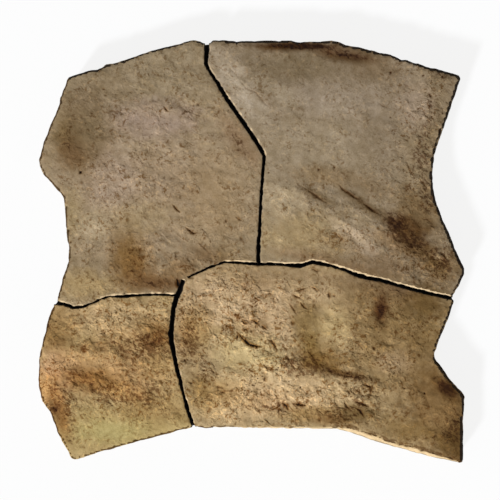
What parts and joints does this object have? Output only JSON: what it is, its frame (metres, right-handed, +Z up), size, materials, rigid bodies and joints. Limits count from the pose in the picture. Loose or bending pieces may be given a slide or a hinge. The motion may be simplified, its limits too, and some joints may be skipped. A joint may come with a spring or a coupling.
{
  "type": "flagstone paving slab",
  "caption": "Cast concrete flagstone slab with a wavy interlocking outline and a face moulded as fitted riven stones with deep false joints",
  "frame": {"origin": "Middle of the slab's bounding box in plan, on the flat bed that it rests on", "axes": "+Z up out of the textured face, +Y towards the top of the picture, +X to its right"},
  "size_m": [0.6579, 0.654, 0.05],
  "materials": {
    "cast_stone": "rough"
  },
  "bodies": {
    "root": {"flagstone_slab": "cast_stone"}
  },
  "joints": []
}
